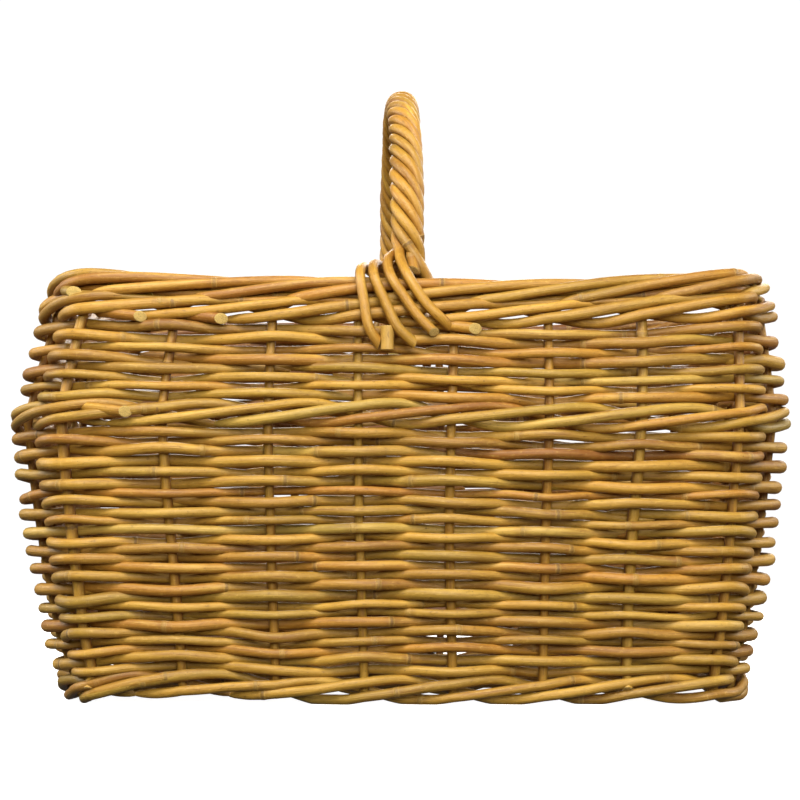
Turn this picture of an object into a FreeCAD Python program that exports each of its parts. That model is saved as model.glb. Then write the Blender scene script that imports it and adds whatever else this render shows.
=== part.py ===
"""Woven market basket: a rectangular rattan basket with a bulging waist and a fixed, roped bow handle.

The basket is worked as the real one is. A woven base panel lies in the foot. 26 upright stakes stand round
it, leaning out to the waist and back in to the rim. Single rods are woven in and out of the stakes, row on
row (randing), with a three-rod wale at the foot, the waist and the top. Each stake's end is rolled to the
right into a rope-like border. The handle is a bow of one straight rod, wrapped by six others that fan out
over the border at its feet, where a peg locks them.

Frame: millimetres, +Z up, +X along the basket's length, -Y towards the front, origin under its middle.
Round the basket, a place is a number u: whole numbers are the stakes, anticlockwise from the front left.
"""

import FreeCAD, Part
import math
import os

import Sketcher
from FreeCAD import Placement, Rotation, Vector

DIMENSIONS = (
    ("rod_diameter", 5.8, "weavers, wale rods and border rods"),
    ("stake_diameter", 5.8, "upright stakes"),
    ("touch_gap", 0.15, "air left between rods that touch"),
    ("foot_sag", 0.3, "how far rounding lifts the foot wale's lowest bends"),
    ("row_pitch", 5.88, "height of one woven row"),
    ("wale_rise", 6.0, "how far a wale rod climbs either side of its middle"),
    ("stake_foot_height", 2.0, "height of the stakes' lower ends"),
    ("lower_rows", 26, "rows between the foot wale and the waist wale"),
    ("upper_rows", 8, "rows between the waist wale and the top wale"),
    ("front_pitch", 60.0, "spacing of the eight stakes of a long side"),
    ("front_wall", 158.0, "half depth at the end stakes of a long side, at the waist"),
    ("front_bulge", 7.0, "how much further out the middle of a long side lies"),
    ("side_pitch", 56.5, "spacing of the five stakes of a short side"),
    ("side_wall", 236.5, "half length at the end stakes of a short side, at the waist"),
    ("side_bulge", 4.0, "how much further out the middle of a short side lies"),
    ("long_side_lean_x", 0.072, "share of its x by which a long side's stake stands further in at the foot"),
    ("short_side_lean_x", 0.088, "the same for a short side's stake"),
    ("lean_y", 0.16, "share of its y by which a stake stands further in at the foot than at the waist"),
    ("rim_share", 0.6, "share of that lean which the rim has come back in"),
    ("corner_rise", 5.0, "how much higher the border's corners stand than its middle"),
    ("rope_radius", 4.85, "border: rope's axis to the middle of a rod"),
    ("rope_rods", 4, "border: rods side by side in the rope"),
    ("handle_core_diameter", 8.4, "handle's bow"),
    ("handle_strand_diameter", 6.2, "rods that wrap the bow"),
    ("handle_strands", 6, "how many rods wrap the bow"),
    ("handle_radius", 134.0, "radius of the bow's half circle"),
    ("handle_spring_height", 269.5, "height at which the legs turn into the half circle"),
    ("handle_foot_height", 205.0, "height of the bow's cut ends"),
    ("handle_yaw", 2.1, "degrees by which the handle stands out of square"),
    ("handle_turns", 5.5, "turns of each wrapping rod"),
    ("wrap_phase", 0.0, "degrees round the bow at which the first wrapping rod starts"),
    ("wrap_height", 282.0, "height at which the wrapping rods leave the bow"),
    ("peg_diameter", 8.0, "pegs at the handle's feet"),
    ("peg_length", 12.5, "pegs at the handle's feet"),
    ("peg_foot_height", 219.5, "height of the pegs' lower ends"),
    ("base_half_length", 198.0, "base frame's centre line"),
    ("base_half_depth", 112.0, "base frame's centre line"),
    ("base_corner", 26.0, "base frame's corner radius"),
    ("base_height", 12.2, "height of the base frame and sticks"),
    ("base_frame_diameter", 7.0, "base frame rod"),
    ("base_stick_diameter", 6.0, "base sticks"),
    ("base_weavers", 34, "rods woven along the base"),
)
# How unevenly the hand-set stakes of a long side stand, from left to right.
STAKE_SHIFT = (0.0, 3.0, 8.0, 4.0, 2.0, 3.0, -1.0, 0.0)
FRONT_COUNT, SIDE_COUNT = len(STAKE_SHIFT), 5
STAKES = 2 * (FRONT_COUNT + SIDE_COUNT)
PAST_END_STAKE, END_GAP = 0.25, 0.004
SIDES = {
    "front": (0, FRONT_COUNT),
    "right": (FRONT_COUNT, SIDE_COUNT),
    "back": (FRONT_COUNT + SIDE_COUNT, FRONT_COUNT),
    "left": (2 * FRONT_COUNT + SIDE_COUNT, SIDE_COUNT),
}
# A corner lies half way between the end stakes of two sides.
CORNERS = [first - 0.5 for first, _ in SIDES.values()]
WEAVE_BEND = 52.0
WEAVE_DROP = 1.05
# How much further out rods pass where the wall turns: 1 is a plain mitre, more leaves room for tight bends.
TURN_ALLOWANCE = 1.8
STAKE_BEND = 60.0
# Where a rod's skin is parted, in radians round its section: no parting may lie in a bend's plane.
SEAM_ANGLE = 0.7
UP = Vector(0, 0, 1)

doc = FreeCAD.newDocument("market_basket")
nodes = []


# ---- the sheet of driving dimensions ----


def make_sheet():
    """The spreadsheet Dims, one named value a row, and the same values as a dict."""
    sheet = doc.addObject("Spreadsheet::Sheet", "Dims")
    for row, (alias, value, meaning) in enumerate(DIMENSIONS, start=1):
        sheet.set(f"A{row}", meaning)
        sheet.set(f"B{row}", str(value))
        sheet.setAlias(f"B{row}", alias)
    doc.recompute()
    return {alias: sheet.get(alias) for alias, _, _ in DIMENSIONS}


size = make_sheet()
rod_radius = size["rod_diameter"] / 2
# A weaver's corners stand out by what its arcs cut off them.
corner_offset = rod_radius + size["stake_diameter"] / 2 + size["touch_gap"] + WEAVE_DROP

# Heights, from the floor up.
foot_wale_z = size["wale_rise"] + rod_radius - size["foot_sag"]
lower_z = foot_wale_z + size["wale_rise"] + size["row_pitch"]
waist_wale_z = lower_z + size["lower_rows"] * size["row_pitch"] + size["wale_rise"]
upper_z = waist_wale_z + size["wale_rise"] + size["row_pitch"]
top_wale_z = upper_z + size["upper_rows"] * size["row_pitch"] + size["wale_rise"]
rope_z = top_wale_z + size["wale_rise"] + size["rod_diameter"] + size["touch_gap"] + size["rope_radius"]
rim_z = rope_z + size["rope_radius"] + rod_radius
stake_foot_z = size["stake_foot_height"]
stake_top_z = top_wale_z - rod_radius


# ---- the wall's shape ----


def waist_places():
    """Where each stake stands at the waist, round the basket."""
    front = []
    end = (FRONT_COUNT - 1) / 2 * size["front_pitch"]
    for i, shift in enumerate(STAKE_SHIFT):
        x = size["front_pitch"] * (i - (FRONT_COUNT - 1) / 2) + shift
        y = size["front_wall"] + size["front_bulge"] * (1 - (x / end) ** 2)
        front.append(Vector(x, -y, 0))
    right = []
    end = (SIDE_COUNT - 1) / 2 * size["side_pitch"]
    for i in range(SIDE_COUNT):
        y = size["side_pitch"] * (i - (SIDE_COUNT - 1) / 2)
        x = size["side_wall"] + size["side_bulge"] * (1 - (y / end) ** 2)
        right.append(Vector(x, y, 0))
    back = [Vector(p.x, -p.y, 0) for p in reversed(front)]
    left = [Vector(-p.x, p.y, 0) for p in reversed(right)]
    return front + right + back + left


WAIST = waist_places()


def drawn_in(z):
    """Share of the full lean by which the wall is drawn in at height z: 1 at the foot, 0 at the waist."""
    if z <= waist_wale_z:
        return (waist_wale_z - z) / (waist_wale_z - stake_foot_z)
    return size["rim_share"] * (z - waist_wale_z) / (rim_z - waist_wale_z)


def lean_alias(k):
    """The sheet's name for how much stake k leans along x."""
    return "long_side_lean_x" if k % (FRONT_COUNT + SIDE_COUNT) < FRONT_COUNT else "short_side_lean_x"


def stake_place(k, z):
    """Centre of stake k at height z."""
    k %= STAKES
    p = WAIST[k]
    share = drawn_in(z)
    return Vector(p.x * (1 - size[lean_alias(k)] * share), p.y * (1 - size["lean_y"] * share), z)


def stake_normal(k, z):
    """Level vector out of the wall at stake k: a unit long, but longer where the wall turns."""
    here = stake_place(k, z)
    before = (here - stake_place(k - 1, z)).normalize()
    after = (stake_place(k + 1, z) - here).normalize()
    along = (before + after).normalize()
    return Vector(along.y, -along.x, 0) / along.dot(after) ** TURN_ALLOWANCE


def corner_lift(u):
    """1 at a corner of the basket, 0 from two and a half stakes away from it."""
    near = min(abs((u - c + STAKES / 2) % STAKES - STAKES / 2) for c in CORNERS)
    return 0.5 + 0.5 * math.cos(math.pi * min(1.0, near / 2.5))


def wall_place(u, z, offset=0.0):
    """A point on the line between two neighbouring stakes, offset out of the wall."""
    k = math.floor(u)
    share = u - k
    a = stake_place(k, z) + stake_normal(k, z) * offset
    b = stake_place(k + 1, z) + stake_normal(k + 1, z) * offset
    return a * (1 - share) + b * share


# ---- rods ----


def bent_wire(points, bend):
    """Straight runs through the points, joined by tangent arcs.

    The arcs have radius bend, or less where a run is short or an arc would pass over WEAVE_DROP inside its
    corner.
    """
    edges = []
    start = points[0]
    for before, corner, after in zip(points, points[1:], points[2:]):
        back, ahead = before - corner, after - corner
        room = 0.48 * min(back.Length, ahead.Length)
        back.normalize()
        ahead.normalize()
        half = back.getAngle(ahead) / 2
        if math.pi / 2 - half < 0.002:
            continue
        bend_here = min(bend, WEAVE_DROP / (1 / math.sin(half) - 1))
        reach = min(bend_here / math.tan(half), room)
        radius = reach * math.tan(half)
        inwards = (back + ahead).normalize()
        first, last = corner + back * reach, corner + ahead * reach
        middle = corner + inwards * (radius / math.sin(half) - radius)
        edges.append(Part.LineSegment(start, first).toShape())
        edges.append(Part.Arc(first, middle, last).toShape())
        start = last
    edges.append(Part.LineSegment(start, points[-1]).toShape())
    return Part.Wire(edges)


def rod(points, diameter, bend=WEAVE_BEND):
    """One bent rod with square-cut ends, its skin in two halves so that no face closes on itself."""
    path = bent_wire(points, bend)
    circle = Part.Circle(points[0], (points[1] - points[0]).normalize(), diameter / 2)
    halves = [circle.toShape(start, start + math.pi) for start in (SEAM_ANGLE, SEAM_ANGLE + math.pi)]
    solid = path.makePipeShell([Part.Wire(halves)], True, False)
    expected = math.pi * (diameter / 2) ** 2 * path.Length
    if abs(solid.Volume - expected) > 0.02 * expected:
        raise ValueError(f"a rod's volume is {solid.Volume:.0f}, not {expected:.0f}")
    return solid


def feature(label, solids):
    """A node of plain Part solids: rods that no sketch or primitive can make."""
    made = doc.addObject("Part::Feature", label)
    made.Label = label
    made.Shape = solids[0] if len(solids) == 1 else Part.makeCompound(solids)
    made.Placement = Placement()
    nodes.append(made)
    return made


def side_span(name):
    """First and last u of the rods of one side. A side's rods end just past a long side's end stakes."""
    first, count = SIDES[name]
    if count == FRONT_COUNT:
        first, last = first - PAST_END_STAKE, first + count - 1 + PAST_END_STAKE
    else:
        first, last = first - 1 + PAST_END_STAKE, first + count - PAST_END_STAKE
    return first + END_GAP, last - END_GAP


# ---- woven rows ----


def row_rod(name, z, odd):
    """The length of one row that lies along one side: outside the even stakes, or the odd ones."""

    def corner(k):
        offset = corner_offset if (k + odd) % 2 == 0 else -corner_offset
        return stake_place(k, z) + stake_normal(k, z) * offset

    def end_point(u):
        k = math.floor(u)
        return corner(k) + (corner(k + 1) - corner(k)) * (u - k)

    first, last = side_span(name)
    points = [end_point(first)]
    points += [corner(k) for k in range(math.ceil(first), math.floor(last) + 1)]
    points.append(end_point(last))
    return rod(points, size["rod_diameter"])


def weave_rows(prefix, count, first_z):
    for row in range(int(count)):
        z = first_z + row * size["row_pitch"]
        feature(f"{prefix}_{row + 1:02d}", [row_rod(name, z, row % 2) for name in SIDES])


# ---- three-rod wales ----

# Steps of one wale rod over three stakes: place after the first stake, offset out of the wall, climb.
WALE_STEPS = ((-0.5, 0.0, -1.0), (0.0, 1.0, -0.5), (1.0, 1.0, 0.5), (1.5, 0.0, 1.0), (2.0, -1.0, 0.0))
WALE_RODS = 3


def wale_rod(name, z, strand, lift):
    """One side's length of one wale rod: in front of two stakes while it climbs, then behind one."""
    first, last = side_span(name)
    corners = []
    start = math.floor((first - strand) / WALE_RODS) * WALE_RODS + strand
    for stroke in range(start - WALE_RODS, math.ceil(last) + 2 * WALE_RODS, WALE_RODS):
        corners += [(stroke + u, out, climb) for u, out, climb in WALE_STEPS]

    def place(u, out, climb):
        height = z + climb * size["wale_rise"] + lift * corner_lift(u)
        return wall_place(u, height, out * corner_offset)

    def end_point(u):
        before = max(c for c in corners if c[0] <= u)
        after = min(c for c in corners if c[0] > u)
        share = (u - before[0]) / (after[0] - before[0])
        return place(*before) + (place(*after) - place(*before)) * share

    points = [end_point(first)]
    points += [place(*c) for c in corners if first + 0.05 < c[0] < last - 0.05]
    points.append(end_point(last))
    return rod(points, size["rod_diameter"], bend=30.0)


def wale(label, z, lift=0.0):
    feature(label, [wale_rod(name, z, strand, lift) for strand in range(WALE_RODS) for name in SIDES])


# ---- upright stakes ----


# Rises along a stake, in the sheet's words: foot to waist wale, waist wale to stake top, waist wale to rim.
WAIST_RISE = (
    "(3 * Dims.wale_rise + Dims.rod_diameter / 2 - Dims.foot_sag"
    " + (Dims.lower_rows + 1) * Dims.row_pitch - Dims.stake_foot_height)"
)
UPPER_RISE = "(2 * Dims.wale_rise + (Dims.upper_rows + 1) * Dims.row_pitch - Dims.rod_diameter / 2)"
RIM_RISE = (
    "(3 * Dims.wale_rise + (Dims.upper_rows + 1) * Dims.row_pitch + 1.5 * Dims.rod_diameter"
    " + Dims.touch_gap + 2 * Dims.rope_radius)"
)
TOP_SHARE = f"(1 - Dims.rim_share * {UPPER_RISE} / {RIM_RISE})"


def stake_body(label, k):
    """One stake: a planar bent rod, leaning out to the waist and back in. Its sketch plane follows it."""
    foot = stake_place(k, stake_foot_z)
    waist = WAIST[k]
    out = Vector(waist.x - foot.x, waist.y - foot.y, 0)
    lean = f"sqrt(({waist.x} * Dims.{lean_alias(k)}) ^ 2 + ({waist.y} * Dims.lean_y) ^ 2)"
    body = doc.addObject("PartDesign::Body", label)
    body.Label = label
    plane = next(f for f in body.Origin.OriginFeatures if f.Role == "XZ_Plane")
    path = body.newObject("Sketcher::SketchObject", label + "_path")
    path.AttachmentSupport = (plane, [""])
    path.MapMode = "FlatFace"
    waist_rise = waist_wale_z - stake_foot_z
    top_rise = stake_top_z - stake_foot_z
    reach = out.Length
    top_reach = reach * (1 - drawn_in(stake_top_z))
    low, high = Vector(reach * 0.9, waist_rise * 0.9, 0), Vector(reach * 0.97, waist_rise * 1.1, 0)
    path.addGeometry(Part.LineSegment(Vector(0, 0, 0), low))
    path.addGeometry(Part.LineSegment(high, Vector(top_reach, top_rise, 0)))
    path.addGeometry(Part.Arc(low, Vector(reach * 0.99, waist_rise, 0), high))
    path.addGeometry(Part.Point(Vector(reach, waist_rise, 0)), True)
    arc_start = path.Geometry[2].StartPoint
    low_end, high_end = (1, 2) if arc_start.distanceToPoint(low) < 1 else (2, 1)
    constrained(path, "Coincident", 0, 1, -1, 1)
    constrained(path, "Tangent", 0, 2, 2, low_end)
    constrained(path, "Tangent", 1, 1, 2, high_end)
    constrained(path, "PointOnObject", 3, 1, 0)
    constrained(path, "PointOnObject", 3, 1, 1)
    constrained(path, "Radius", 2, STAKE_BEND)
    sized(path, "DistanceX", 3, reach, "waist_lean", lean)
    sized(path, "DistanceY", 3, waist_rise, "waist_rise", WAIST_RISE)
    sized(path, "DistanceX", 1, top_reach, "top_lean", f"{lean} * {TOP_SHARE}", point=2)
    sized(path, "DistanceY", 1, top_rise, "top_rise", f"{WAIST_RISE} + {UPPER_RISE}", point=2)
    profile = circle_sketch(body, label + "_round", "XY_Plane", "Dims.stake_diameter", size["stake_diameter"])
    pipe = body.newObject("PartDesign::AdditivePipe", label + "_pipe")
    pipe.Profile = profile
    pipe.Spine = path
    body.Placement = Placement(foot, Rotation(Vector(1, 0, 0), out))
    return body


def constrained(sketch, *words):
    """Adds one constraint and returns its number."""
    return sketch.addConstraint(Sketcher.Constraint(*words))


def sized(sketch, kind, geometry, value, name, expression, point=1):
    """A named distance from the origin to a point of the sketch, bound to an expression of the sheet."""
    index = constrained(sketch, kind, -1, 1, geometry, point, value)
    sketch.renameConstraint(index, name)
    sketch.setExpression(f"Constraints.{name}", expression)


def circle_sketch(body, name, role, expression, diameter):
    """A circle about the body's origin on one of its planes, its diameter bound to the sheet."""
    plane = next(f for f in body.Origin.OriginFeatures if f.Role == role)
    sketch = body.newObject("Sketcher::SketchObject", name)
    sketch.AttachmentSupport = (plane, [""])
    sketch.MapMode = "FlatFace"
    sketch.addGeometry(Part.Circle(Vector(0, 0, 0), Vector(0, 0, 1), diameter / 2))
    constrained(sketch, "Coincident", 0, 3, -1, 1)
    index = constrained(sketch, "Diameter", 0, diameter)
    sketch.renameConstraint(index, "diameter")
    sketch.setExpression("Constraints.diameter", expression)
    return sketch


def group(label, members):
    """A node of several separate solids that are objects of the document."""
    made = doc.addObject("Part::Compound", label)
    made.Label = label
    made.Links = members
    nodes.append(made)
    return made


def stakes():
    for name, (first, count) in SIDES.items():
        group(f"{name}_stakes", [stake_body(f"{name}_stake_{i + 1}", first + i) for i in range(count)])


# ---- rolled border ----

# A border rod's bends stand a third of a stake's spacing apart. It stops one such step short of a full turn.
ROPE_STEPS = 3


def border_rod(k):
    """Carries stake k's line up through the top wale, then winds it once round the rope to the right."""
    points = [stake_place(k, stake_top_z + size["touch_gap"])]
    for i in range(int(size["rope_rods"]) * ROPE_STEPS):
        u = k + i / ROPE_STEPS
        angle = math.radians(-90 + 360 * (u - k) / size["rope_rods"])
        out = size["rope_radius"] * math.cos(angle)
        z = rope_z + size["rope_radius"] * math.sin(angle) + size["corner_rise"] * corner_lift(u)
        points.append(wall_place(u, z, out))
    points[1].z = points[1].z + 0.5
    return rod(points, size["rod_diameter"], bend=30.0)


def border():
    for name, (first, count) in SIDES.items():
        feature(f"{name}_border_rods", [border_rod(first + i) for i in range(count)])


# ---- base panel ----


def base_frame():
    """A rod bent to a rounded rectangle, as a pipe along a sketch."""
    half_x, half_y, corner = size["base_half_length"], size["base_half_depth"], size["base_corner"]
    body = doc.addObject("PartDesign::Body", "base_frame")
    body.Label = "base_frame"
    plane = next(f for f in body.Origin.OriginFeatures if f.Role == "XY_Plane")
    path = body.newObject("Sketcher::SketchObject", "base_frame_path")
    path.AttachmentSupport = (plane, [""])
    path.MapMode = "FlatFace"
    right, top = half_x, half_y
    ends = (
        (Vector(0, -top, 0), Vector(right - corner, -top, 0)),
        (Vector(right, corner - top, 0), Vector(right, top - corner, 0)),
        (Vector(right - corner, top, 0), Vector(corner - right, top, 0)),
        (Vector(-right, top - corner, 0), Vector(-right, corner - top, 0)),
        (Vector(corner - right, -top, 0), Vector(-0.5, -top, 0)),
    )
    for a, b in ends:
        path.addGeometry(Part.LineSegment(a, b))
    slant = corner * (1 - math.sqrt(0.5))
    middles = ((1, -1), (1, 1), (-1, 1), (-1, -1))
    for i, (sx, sy) in enumerate(middles):
        middle = Vector(sx * (right - slant), sy * (top - slant), 0)
        path.addGeometry(Part.Arc(ends[i][1], middle, ends[i + 1][0]))
        start = path.Geometry[5 + i].StartPoint
        near, far = (1, 2) if start.distanceToPoint(ends[i][1]) < 0.1 else (2, 1)
        constrained(path, "Tangent", i, 2, 5 + i, near)
        constrained(path, "Tangent", i + 1, 1, 5 + i, far)
        index = constrained(path, "Radius", 5 + i, corner)
        path.renameConstraint(index, f"corner_{i + 1}")
        path.setExpression(f"Constraints.corner_{i + 1}", "Dims.base_corner")
    constrained(path, "Horizontal", 0)
    sized(path, "DistanceX", 0, 0.0, "seam", "0")
    sized(path, "DistanceY", 0, -top, "front_line", "-Dims.base_half_depth")
    sized(path, "DistanceX", 1, right, "right_line", "Dims.base_half_length")
    sized(path, "DistanceY", 2, top, "back_line", "Dims.base_half_depth")
    sized(path, "DistanceX", 3, -right, "left_line", "-Dims.base_half_length")
    sized(path, "DistanceX", 4, -0.5, "seam_gap", "-0.5", point=2)
    constrained(path, "Vertical", 1)
    constrained(path, "Horizontal", 2)
    constrained(path, "Vertical", 3)
    profile = circle_sketch(
        body, "base_frame_round", "YZ_Plane", "Dims.base_frame_diameter", size["base_frame_diameter"]
    )
    profile.AttachmentOffset = Placement(Vector(-half_y, 0, 0), Rotation())
    profile.setExpression("AttachmentOffset.Base.x", "-Dims.base_half_depth")
    pipe = body.newObject("PartDesign::AdditivePipe", "base_frame_pipe")
    pipe.Profile = profile
    pipe.Spine = path
    body.Placement = Placement(Vector(0, 0, size["base_height"]), Rotation())
    nodes.append(body)


def base_sticks():
    """Cylinders across the base, one under each pair of opposite stakes, between the frame's long sides."""
    made = []
    for i in range(FRONT_COUNT):
        stick = doc.addObject("Part::Cylinder", f"base_stick_{i + 1}")
        stick.setExpression("Radius", "Dims.base_stick_diameter / 2")
        stick.setExpression(
            "Height", "2 * (Dims.base_half_depth - Dims.base_frame_diameter / 2 - Dims.touch_gap)"
        )
        half = size["base_half_depth"] - size["base_frame_diameter"] / 2 - size["touch_gap"]
        x = base_stick_x(i)
        stick.Placement = Placement(Vector(x, half, size["base_height"]), Rotation(Vector(1, 0, 0), 90))
        made.append(stick)
    group("base_sticks", made)


def base_stick_x(i):
    """Where a base stick lies: in line with the stakes, but the end ones inside the frame's corners."""
    limit = size["base_half_length"] - size["base_corner"] - size["base_stick_diameter"] / 2
    return max(-limit, min(limit, WAIST[i].x * (1 - size["long_side_lean_x"])))


def base_weavers():
    """Rods along the base, over and under the sticks, each the other way from its neighbour."""
    rise = (size["rod_diameter"] + size["base_stick_diameter"]) / 2 + size["touch_gap"] + WEAVE_DROP
    span = 2 * (size["base_half_depth"] - size["base_frame_diameter"] / 2 - rod_radius - size["touch_gap"])
    inner_corner = size["base_corner"] - size["base_frame_diameter"] / 2
    count = int(size["base_weavers"])
    even, odd = [], []
    for row in range(count):
        y = span * (row / (count - 1) - 0.5)
        inset = max(0.0, abs(y) + rod_radius - (size["base_half_depth"] - size["base_corner"]))
        corner_loss = inner_corner - math.sqrt(inner_corner**2 - inset**2)
        end = size["base_half_length"] - size["base_frame_diameter"] / 2 - corner_loss - 0.5
        points = []
        for i in range(FRONT_COUNT):
            x = base_stick_x(i)
            side = 1 if (i + row) % 2 == 0 else -1
            points.append(Vector(x, y, size["base_height"] + side * rise))
        beyond_stick = end - points[-1].x
        end_rises = [points[0].z, points[-1].z] if beyond_stick < 10 else [size["base_height"]] * 2
        points.insert(0, Vector(-end, y, end_rises[0]))
        points.append(Vector(end, y, end_rises[1]))
        (odd if row % 2 else even).append(rod(points, size["rod_diameter"]))
    feature("base_weavers_over_first", even)
    feature("base_weavers_under_first", odd)


# ---- handle ----


def handle_core():
    """The bow: two straight legs and a half circle, as a pipe along a sketch in the YZ plane."""
    radius, spring, foot = size["handle_radius"], size["handle_spring_height"], size["handle_foot_height"]
    body = doc.addObject("PartDesign::Body", "handle_bow")
    body.Label = "handle_bow"
    plane = next(f for f in body.Origin.OriginFeatures if f.Role == "YZ_Plane")
    path = body.newObject("Sketcher::SketchObject", "handle_bow_path")
    path.AttachmentSupport = (plane, [""])
    path.MapMode = "FlatFace"
    path.addGeometry(Part.LineSegment(Vector(-radius, foot, 0), Vector(-radius, spring, 0)))
    path.addGeometry(Part.LineSegment(Vector(radius, spring, 0), Vector(radius, foot, 0)))
    circle = Part.Circle(Vector(0, spring, 0), Vector(0, 0, 1), radius)
    path.addGeometry(Part.ArcOfCircle(circle, 0, math.pi))
    constrained(path, "Coincident", 0, 2, 2, 2)
    constrained(path, "Coincident", 1, 1, 2, 1)
    constrained(path, "Vertical", 0)
    constrained(path, "Vertical", 1)
    sized(path, "DistanceX", 0, -radius, "front_leg", "-Dims.handle_radius")
    sized(path, "DistanceY", 0, foot, "front_end", "Dims.handle_foot_height")
    sized(path, "DistanceY", 0, spring, "spring", "Dims.handle_spring_height", point=2)
    sized(path, "DistanceY", 2, spring, "bow_centre", "Dims.handle_spring_height", point=3)
    sized(path, "DistanceX", 1, radius, "back_leg", "Dims.handle_radius")
    sized(path, "DistanceY", 1, spring, "back_spring", "Dims.handle_spring_height")
    sized(path, "DistanceY", 1, foot, "back_end", "Dims.handle_foot_height", point=2)
    profile = circle_sketch(
        body, "handle_bow_round", "XY_Plane", "Dims.handle_core_diameter", size["handle_core_diameter"]
    )
    profile.AttachmentOffset = Placement(Vector(0, -radius, foot), Rotation())
    profile.setExpression("AttachmentOffset.Base.y", "-Dims.handle_radius")
    profile.setExpression("AttachmentOffset.Base.z", "Dims.handle_foot_height")
    pipe = body.newObject("PartDesign::AdditivePipe", "handle_bow_pipe")
    pipe.Profile = profile
    pipe.Spine = path
    body.Placement = Placement(Vector(0, 0, 0), Rotation(UP, size["handle_yaw"]))
    nodes.append(body)


# The rods' arcs cut the corners of their helix, which stands out by as much.
wrap_radius = (size["handle_core_diameter"] + size["handle_strand_diameter"]) / 2 + 0.4
wrap_leg = size["wrap_height"] - size["handle_spring_height"]
wrap_start = math.asin(wrap_leg / size["handle_radius"])

# Ways in which the wrapping rods leave the bow at a foot, as points (x, out, z): out is measured outwards
# from the wall's middle line at that height. Two go down the inside, four come over the border and down the
# outside. They are in the order of the rods round the bow, starting at its right and going by the outside.
OUTSIDE = 14.1
FOOT_TAILS = (
    ((7.9, -17.5, 268.0), (8.4, -17.5, 238.0)),
    ((8.5, -7.0, 275.0), (13.5, -12.5, 264.0), (20.0, -OUTSIDE, 250.0), (24.0, -OUTSIDE, 238.0)),
    ((-5.0, -1.5, 278.5), (-0.5, 12.6, 266.0), (9.5, OUTSIDE, 249.5), (20.0, OUTSIDE, 239.0)),
    ((-13.0, -3.0, 277.5), (-11.5, 12.6, 266.5), (-3.0, OUTSIDE, 252.0), (5.0, OUTSIDE, 240.4),
     (14.5, OUTSIDE, 231.0)),
    ((-7.0, -21.5, 276.5), (-15.5, -15.5, 274.5), (-22.0, -3.0, 276.5), (-22.0, 12.0, 266.5),
     (-14.6, OUTSIDE, 247.7), (-8.5, OUTSIDE, 233.6), (0.5, OUTSIDE, 225.0)),
    ((-2.0, -29.5, 273.5), (-20.0, -24.5, 271.0), (-28.5, -8.0, 275.5), (-31.0, 10.0, 269.5),
     (-28.5, OUTSIDE, 252.0), (-25.6, OUTSIDE, 233.6), (-22.5, OUTSIDE, 224.5)),
)
PEG_X, PEG_OUT = -15.0, 10.0
FOOT_PLACE = (FRONT_COUNT - 1) / 2


def bow_frame(angle):
    """Centre of the bow and its outward direction, by the angle round the half circle from the front."""
    outwards = Vector(0, -math.cos(angle), math.sin(angle))
    centre = Vector(0, 0, size["handle_spring_height"]) + outwards * size["handle_radius"]
    return centre, outwards


def tail_points(tail, end):
    """A tail's points at the front foot, or turned half round for the back one."""
    turned = Rotation(UP, 0 if end == "front" else 180)
    return [turned.multVec(Vector(x, wall_place(FOOT_PLACE, z).y - out, z)) for x, out, z in tail]


def handle_strand(i):
    """One wrapping rod: a tail at the front foot, a helix round the bow and a tail at the back foot."""
    count = int(size["handle_strands"])
    first_angle = size["wrap_phase"] + 360.0 / count * i
    steps_per_turn = 11
    steps = round(steps_per_turn * size["handle_turns"])
    points = []
    for step in range(steps + 1):
        share = step / steps
        centre, outwards = bow_frame(wrap_start + (math.pi - 2 * wrap_start) * share)
        angle = math.radians(first_angle + 360 * size["handle_turns"] * share)
        sideways = Vector(wrap_radius * math.cos(angle), 0, 0)
        points.append(centre + sideways + outwards * (wrap_radius * math.sin(angle)))
    last_angle = first_angle + 360 * size["handle_turns"]
    back_place = round((180 - size["wrap_phase"] - last_angle) / (360.0 / count)) % count
    front_tail = tail_points(FOOT_TAILS[i], "front")
    back_tail = tail_points(FOOT_TAILS[back_place], "back")
    points = list(reversed(front_tail)) + points + back_tail
    yaw = Rotation(UP, size["handle_yaw"])
    points = [yaw.multVec(p) for p in points]
    return rod(points, size["handle_strand_diameter"], bend=14.0)


def handle_strands():
    for i in range(int(size["handle_strands"])):
        feature(f"handle_strand_{i + 1}", [handle_strand(i)])


def handle_peg(label, turn):
    """A round peg with chamfered ends, standing outside the wall between two handle rods."""
    pin = doc.addObject("Part::Cylinder", label + "_round")
    pin.setExpression("Radius", "Dims.peg_diameter / 2")
    pin.setExpression("Height", "Dims.peg_length")
    doc.recompute()
    peg = doc.addObject("Part::Chamfer", label)
    peg.Label = label
    peg.Base = pin
    circles = [n for n, e in enumerate(pin.Shape.Edges, start=1) if len(e.Vertexes) == 1]
    peg.Edges = [(n, 0.8, 0.8) for n in circles]
    foot = size["peg_foot_height"]
    spot = Vector(PEG_X, wall_place(FOOT_PLACE, foot).y - PEG_OUT, foot)
    peg.Placement = Placement(Rotation(UP, turn + size["handle_yaw"]).multVec(spot), Rotation())
    nodes.append(peg)


# ---- build and export ----


def check_and_export():
    """Stops on any failed object or bad solid, then writes one STEP file for each node."""
    doc.recompute()
    failed = [o.Name for o in doc.Objects if "Invalid" in o.State or "Error" in o.State]
    if failed:
        raise RuntimeError(f"these objects failed: {failed}")
    os.makedirs("parts", exist_ok=True)
    for node in nodes:
        shape = node.Shape
        if shape.isNull() or not shape.isValid() or not shape.Solids:
            raise RuntimeError(f"{node.Label} has no valid solid")
        shape.exportStep(os.path.join("parts", node.Label + ".step"))
    solids = sum(len(node.Shape.Solids) for node in nodes)
    volume = sum(node.Shape.Volume for node in nodes) / 1e6
    print(f"{len(nodes)} nodes, {solids} solids, {volume:.2f} litres")


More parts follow.
